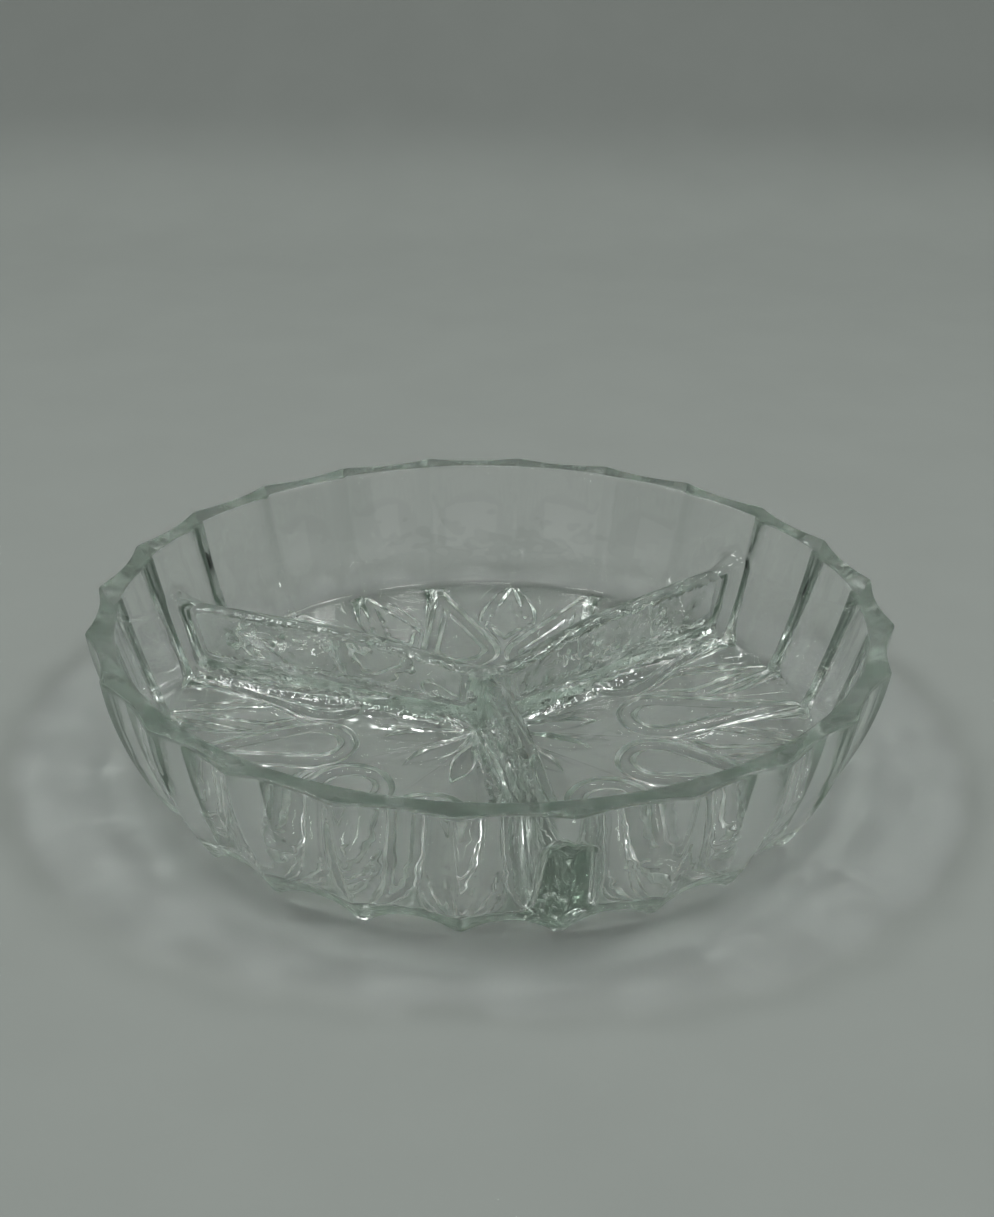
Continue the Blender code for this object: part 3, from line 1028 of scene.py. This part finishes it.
@dataclass(frozen=True)
class PressedGlassFinish:
    """Soda-lime glass, pressed in an iron mould and fire-polished.

    The flame leaves a bright skin over the mould's faint ripple. Iron in the sand tints it green-grey,
    which shows only where the eye looks through a long way of glass, as along the rim.
    """

    ior: float = 1.52
    tint: str = "#B3C6B9"
    density: float = 14.0
    ripple_size: float = 6.0 * MM
    ripple_height: float = 0.5 * MM
    ripple_on_base: float = 0.4
    ripple_on_rim: float = 0.1
    ripple_top: float = 30.0 * MM
    ripple_base: float = 18.0 * MM
    haze_size: float = 25.0 * MM
    haze_limits: tuple[float, float] = (0.45, 0.75)
    clear_roughness: float = 0.0
    handled_roughness: float = 0.02
    grain_size: float = 1.8 * MM
    grain_height: float = 0.35 * MM
    grain_on_sides: float = 0.08
    grain_on_rim: float = 0.25
    level_facing: tuple[float, float] = (0.95, 0.995)
    side_facing: tuple[float, float] = (0.12, 0.30)
    divider_ends: tuple[float, float] = (81.0 * MM, 87.0 * MM)
    floor_heights: tuple[float, float] = (6.2 * MM, 6.8 * MM)
    foot_radii: tuple[float, float] = (84.0 * MM, 86.0 * MM)
    foot_heights: tuple[float, float] = (4.5 * MM, 6.5 * MM)
    rim_heights: tuple[float, float] = (39.7 * MM, 40.2 * MM)
    rim_roughness: float = 0.16

    def shares(
        self, tree: bpy.types.NodeTree, place: bpy.types.Node, height: bpy.types.NodeSocket,
    ) -> tuple[bpy.types.NodeSocket, bpy.types.NodeSocket]:
        """Adds the shares of the ripple and of the grain by place.

        Args:
            tree: Node tree that gets them.
            place: Texture coordinates.
            height: Height above the table.

        Returns:
            Share of the ripple, full on the dividers, and share of the grain, full on their crowns and
            fillets and at the feet.
        """
        level = add_node(
            tree, "ShaderNodeVectorMath", settings={"operation": "MULTIPLY"},
            inputs={1: (1.0, 1.0, 0.0)}, links={0: place.outputs["Object"]},
        )
        radius = add_node(
            tree, "ShaderNodeVectorMath", settings={"operation": "LENGTH"},
            links={0: level.outputs["Vector"]},
        ).outputs["Value"]
        facing = add_node(tree, "ShaderNodeSeparateXYZ", links={"Vector": place.outputs["Normal"]})
        upright = add_node(
            tree, "ShaderNodeMath", settings={"operation": "ABSOLUTE"}, links={0: facing.outputs["Z"]},
        ).outputs["Value"]
        dividers = combine(
            tree, "MULTIPLY",
            add_step(tree, upright, self.level_facing, (1.0, 0.0)),
            add_step(tree, height, self.floor_heights),
            add_step(tree, radius, self.divider_ends, (1.0, 0.0)),
        )
        curved = add_step(tree, upright, self.side_facing, (self.grain_on_sides, 1.0))
        feet = combine(
            tree, "MULTIPLY",
            add_step(tree, radius, self.foot_radii),
            add_step(tree, height, self.foot_heights, (1.0, 0.0)),
        )
        rim = add_step(tree, height, self.rim_heights, (0.0, self.grain_on_rim))
        chill = add_step(
            tree, height, (self.ripple_base, self.ripple_top), (self.ripple_on_base, self.ripple_on_rim),
        )
        ripple = combine(tree, "MAXIMUM", chill, dividers)
        grain = combine(tree, "MAXIMUM", combine(tree, "MULTIPLY", dividers, curved), feet, rim)
        return ripple, grain

    def material(self) -> bpy.types.Material:
        """Makes the glass material.

        Returns:
            Clear glass with the ripple, the grain and the tint.
        """
        material = bpy.data.materials.new("pressed_soda_lime_glass_fire_polished")
        material.use_nodes = True
        tree = material.node_tree
        tree.nodes.clear()
        place = add_node(tree, "ShaderNodeTexCoord")
        ripple = add_noise(tree, place, self.ripple_size, 1.0, 0.4)
        grain = add_noise(tree, place, self.grain_size, 1.0)
        haze = add_noise(tree, place, self.haze_size, 3.0, 0.6)
        split = add_node(tree, "ShaderNodeSeparateXYZ", links={"Vector": place.outputs["Object"]})
        height = split.outputs["Z"]
        ripple_share, grain_share = self.shares(tree, place, height)
        wave = add_node(
            tree, "ShaderNodeBump",
            inputs={"Distance": self.ripple_height},
            links={"Height": ripple, "Strength": ripple_share},
        )
        bump = add_node(
            tree, "ShaderNodeBump",
            inputs={"Distance": self.grain_height},
            links={"Height": grain, "Strength": grain_share, "Normal": wave.outputs["Normal"]},
        )
        rough = add_node(
            tree, "ShaderNodeMapRange",
            inputs={"From Min": self.haze_limits[0], "From Max": self.haze_limits[1],
                    "To Min": self.clear_roughness, "To Max": self.handled_roughness},
            links={"Value": haze},
        )
        ground = add_step(tree, height, self.rim_heights, (0.0, self.rim_roughness))
        glass = add_node(
            tree, "ShaderNodeBsdfPrincipled",
            inputs={"Base Color": (1.0, 1.0, 1.0, 1.0), "IOR": self.ior, "Transmission Weight": 1.0},
            links={"Roughness": combine(tree, "MAXIMUM", rough.outputs["Result"], ground),
                   "Normal": bump.outputs["Normal"]},
        )
        inside = add_node(
            tree, "ShaderNodeVolumeAbsorption",
            inputs={"Color": linear_colour(self.tint), "Density": self.density},
        )
        add_node(
            tree, "ShaderNodeOutputMaterial",
            links={"Surface": glass.outputs["BSDF"], "Volume": inside.outputs["Volume"]},
        )
        return material


@dataclass(frozen=True)
class PaperFinish:
    """Matt grey background paper, rolled, with a faint uneven tooth that keeps it from shining."""

    colour: str = "#9CA19D"
    mottle: str = "#969B97"
    # Painted shade: the paper's colour is darkened where it rises behind the dish.
    far_shade: float = 0.72
    shade_heights: tuple[float, float] = (2.0 * MM, 45.0 * MM)
    # Painted light: the paper's colour is lightened far from the dish, where the lamps light it less.
    painted_far_light: float = 2.4
    painted_light_distances: tuple[float, float] = (0.9, 2.4)
    mottle_size: float = 40.0 * MM
    tooth_size: float = 0.8 * MM
    tooth_height: float = 0.03 * MM
    tooth_strength: float = 0.4
    roughness: float = 0.9

    def material(self) -> bpy.types.Material:
        """Makes the paper material.

        Returns:
            Matt paper with painted shade where it rises behind the dish, and painted light far from the
            lamps.
        """
        material = bpy.data.materials.new("matt_background_paper_rolled")
        material.use_nodes = True
        tree = material.node_tree
        tree.nodes.clear()
        place = add_node(tree, "ShaderNodeTexCoord")
        mottle = add_noise(tree, place, self.mottle_size, 3.0)
        tooth = add_noise(tree, place, self.tooth_size, 2.0)
        ramp = add_node(tree, "ShaderNodeValToRGB", links={"Fac": mottle})
        ramp.color_ramp.elements[0].color = linear_colour(self.colour)
        ramp.color_ramp.elements[1].color = linear_colour(self.mottle)
        bump = add_node(
            tree, "ShaderNodeBump",
            inputs={"Strength": self.tooth_strength, "Distance": self.tooth_height},
            links={"Height": tooth},
        )
        split = add_node(tree, "ShaderNodeSeparateXYZ", links={"Vector": place.outputs["Object"]})
        distance = add_node(
            tree, "ShaderNodeVectorMath", settings={"operation": "LENGTH"},
            links={0: place.outputs["Object"]},
        )
        # Painted shade and painted light: the paper's colour is scaled down up the backdrop and up far from
        # the dish.
        level = combine(
            tree, "MULTIPLY",
            add_step(tree, split.outputs["Z"], self.shade_heights, (1.0, self.far_shade)),
            add_step(tree, distance.outputs["Value"], self.painted_light_distances, (1.0, self.painted_far_light)),
        )
        tone = add_node(
            tree, "ShaderNodeVectorMath", settings={"operation": "SCALE"},
            links={"Scale": level, "Vector": ramp.outputs["Color"]},
        )
        paper = add_node(
            tree, "ShaderNodeBsdfPrincipled",
            inputs={"Roughness": self.roughness},
            links={"Base Color": tone.outputs["Vector"], "Normal": bump.outputs["Normal"]},
        )
        add_node(tree, "ShaderNodeOutputMaterial", links={"Surface": paper.outputs["BSDF"]})
        return material


@dataclass
class PressedDish:
    """The dish as one pressing: compartments, rim, fluted wall and pressed underside."""

    wall: FlutedWall
    inside: Compartments
    underside: PressedUnderside
    finish: PressedGlassFinish = PressedGlassFinish()

    def build(self) -> bpy.types.Object:
        """Builds the closed glass skin.

        Returns:
            The glass, without its finish.
        """
        skin = GlassSkin()
        rim = self.inside.build(skin)
        rows = self.wall.rows()
        last = skin.ring(rows[0])
        skin.stitch(last, rim)
        for row in rows[1:]:
            fresh = skin.ring(row)
            skin.bridge(last, fresh)
            last = fresh
        self.underside.build(skin, last, rows[-1])
        glass = bpy.data.objects.new("pressed_glass_dish", skin.mesh("pressed_glass_dish"))
        bpy.context.scene.collection.objects.link(glass)
        return glass

    def dress(self, glass: bpy.types.Object) -> None:
        """Gives the glass its finish and sets it on the frame.

        Args:
            glass: The glass skin.
        """
        glass.data.materials.append(self.finish.material())
        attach(glass, "root")
        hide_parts(*GLASS_NODES)


@dataclass
class PhotoCamera:
    """Camera at the photograph's viewing angle, found from the rim's ridges and the feet."""

    azimuth: float = VIEW_AZIMUTH
    elevation: float = math.radians(26.1025)
    roll: float = math.radians(0.96995)
    distance: float = 507.66 * MM
    aim: tuple[float, float, float] = (1.37 * MM, -0.27 * MM, 40.03 * MM)
    focal_pixels: float = 1936.46
    sensor: float = 36.0
    clip: tuple[float, float] = (0.01, 50.0)

    def place(self) -> bpy.types.Object:
        """Adds the camera and makes it the scene's own.

        Returns:
            The camera.
        """
        data = bpy.data.cameras.new("photo_camera")
        data.sensor_fit = "AUTO"
        data.sensor_width = self.sensor
        data.lens = self.focal_pixels * self.sensor / max(IMAGE_SIZE)
        data.clip_start = self.clip[0]
        data.clip_end = self.clip[1]
        camera = bpy.data.objects.new("photo_camera", data)
        bpy.context.scene.collection.objects.link(camera)
        level = math.cos(self.elevation)
        sine = math.sin(self.azimuth)
        cosine = math.cos(self.azimuth)
        back = Vector((sine * level, -cosine * level, math.sin(self.elevation)))
        right = Vector((cosine, sine, 0.0))
        up = back.cross(right)
        turned_right = right * math.cos(self.roll) + up * math.sin(self.roll)
        turned_up = up * math.cos(self.roll) - right * math.sin(self.roll)
        axes = Matrix((turned_right, turned_up, back)).transposed().to_4x4()
        camera.matrix_world = Matrix.Translation(Vector(self.aim) + back * self.distance) @ axes
        bpy.context.scene.camera = camera
        return camera


@dataclass(frozen=True)
class Lamp:
    """One soft lamp: where it hangs, with Y away from the camera, the size of its face and its watts."""

    name: str
    place: tuple[float, float, float]
    size: tuple[float, float]
    power: float

    def hang(self, azimuth: float) -> None:
        """Adds the lamp to the scene, facing the dish and turned with the paper.

        Args:
            azimuth: Angle of the paper about the dish's axis.
        """
        data = bpy.data.lights.new(self.name, "AREA")
        data.shape = "RECTANGLE"
        data.size = self.size[0]
        data.size_y = self.size[1]
        data.energy = self.power
        lamp = bpy.data.objects.new(self.name, data)
        turn = Matrix.Rotation(azimuth, 4, "Z")
        facing = Vector(self.place).to_track_quat("Z", "Y").to_matrix().to_4x4()
        lamp.matrix_world = turn @ Matrix.Translation(Vector(self.place)) @ facing
        bpy.context.scene.collection.objects.link(lamp)


@dataclass
class Studio:
    """Paper sweep, soft lamps and a plain world round the dish."""

    paper: PaperFinish = PaperFinish()
    floor_drop: float = 0.15 * MM
    reach: float = 3.0
    sweep_start: float = 0.47
    sweep_radius: float = 0.28
    sweep_height: float = 1.4
    sweep_steps: int = 16
    sky: tuple[tuple[float, str], ...] = (
        (0.0, "#868B87"),
        (0.05, "#868B87"),
        (0.10, "#1C1F1D"),
        (0.24, "#1C1F1D"),
        (0.40, "#868B87"),
        (1.0, "#8E938F"),
    )
    world_strength: float = 1.0
    lamps: tuple[Lamp, ...] = (
        Lamp("top", (0.0, 0.0, 1.40), (0.18, 0.18), 1.5),
        Lamp("left", (-0.75, 0.0, 1.15), (0.20, 0.20), 2.1),
        Lamp("right", (0.75, 0.0, 1.15), (0.20, 0.20), 2.7),
        Lamp("front_left", (-0.60, -0.60, 1.25), (0.20, 0.20), 2.0),
        Lamp("front_right", (0.60, -0.60, 1.25), (0.20, 0.20), 2.0),
        Lamp("back_left", (-0.55, 0.40, 1.05), (0.14, 0.14), 1.3),
        Lamp("back_right", (0.55, 0.40, 1.05), (0.14, 0.14), 0.9),
        Lamp("window", (0.0, -1.60, 0.66), (3.0, 0.76), 3.4),
    )
    glass_bounces: int = 64
    diffuse_bounces: int = 3
    azimuth: float = VIEW_AZIMUTH

    def sweep(self) -> bpy.types.Object:
        """Builds the floor and backdrop as one curved sheet.

        Returns:
            The sheet.
        """
        outline = [(-self.reach, 0.0), (self.sweep_start, 0.0)]
        for t in spread(self.sweep_steps)[1:]:
            turn = 0.5 * math.pi * t
            outline.append((
                self.sweep_start + self.sweep_radius * math.sin(turn),
                self.sweep_radius * (1.0 - math.cos(turn)),
            ))
        outline.append((self.sweep_start + self.sweep_radius, self.sweep_height))
        points = []
        faces = []
        for along, height in outline:
            points.append((-self.reach, along, height - self.floor_drop))
            points.append((self.reach, along, height - self.floor_drop))
        for row in range(len(outline) - 1):
            faces.append((2 * row, 2 * row + 1, 2 * row + 3, 2 * row + 2))
        mesh = bpy.data.meshes.new("paper_sweep")
        mesh.from_pydata(points, [], faces)
        mesh.polygons.foreach_set("use_smooth", np.ones(len(faces), dtype=bool))
        mesh.materials.append(self.paper.material())
        sheet = bpy.data.objects.new("paper_sweep", mesh)
        sheet.rotation_euler = (0.0, 0.0, self.azimuth)
        bpy.context.scene.collection.objects.link(sheet)
        return sheet

    def world(self) -> None:
        """Gives the scene a plain grey world, with the dark of the room low down behind the lamps."""
        world = bpy.data.worlds.new("studio_world")
        world.use_nodes = True
        tree = world.node_tree
        tree.nodes.clear()
        place = add_node(tree, "ShaderNodeTexCoord")
        split = add_node(tree, "ShaderNodeSeparateXYZ", links={"Vector": place.outputs["Generated"]})
        ramp = add_node(tree, "ShaderNodeValToRGB", links={"Fac": split.outputs["Z"]})
        stops = ramp.color_ramp.elements
        stops[0].color = linear_colour(self.sky[0][1])
        stops[1].color = linear_colour(self.sky[-1][1])
        for position, code in self.sky[1:-1]:
            stops.new(position).color = linear_colour(code)
        plain = add_node(
            tree, "ShaderNodeBackground",
            inputs={"Strength": self.world_strength},
            links={"Color": ramp.outputs["Color"]},
        )
        add_node(tree, "ShaderNodeOutputWorld", links={"Surface": plain.outputs["Background"]})
        bpy.context.scene.world = world

    def build(self) -> None:
        """Sets up the sweep, the lamps, the world and the light paths that glass needs."""
        self.sweep()
        for lamp in self.lamps:
            lamp.hang(self.azimuth)
        self.world()
        scene = bpy.context.scene
        scene.view_settings.view_transform = "Standard"
        scene.cycles.max_bounces = self.glass_bounces
        scene.cycles.transmission_bounces = self.glass_bounces
        scene.cycles.glossy_bounces = self.glass_bounces
        scene.cycles.diffuse_bounces = self.diffuse_bounces
        scene.cycles.caustics_refractive = True
        scene.cycles.caustics_reflective = True
        scene.cycles.blur_glossy = 0.0
        scene.cycles.sample_clamp_indirect = 0.0
        scene.cycles.use_denoising = True


def main() -> None:
    """Builds the camera, the dish and the studio."""
    logging.basicConfig(level=logging.INFO, format="%(name)s: %(message)s")
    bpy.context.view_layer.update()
    low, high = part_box("fluted_wall")
    PhotoCamera().place()
    wall = FlutedWall(rim_radius=105.0 * MM, height=high[2])
    inside = Compartments(wall=wall, floor=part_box("base_plate")[1][2])
    dish = PressedDish(wall=wall, inside=inside, underside=PressedUnderside(wall=wall))
    glass = dish.build()
    dish.dress(glass)
    LOG.info("%s stands for %d nodes, %.1f mm wide", glass.name, len(GLASS_NODES), (high[0] - low[0]) / MM)
    Studio().build()
    bpy.context.view_layer.update()


if __name__ == "__main__":
    main()
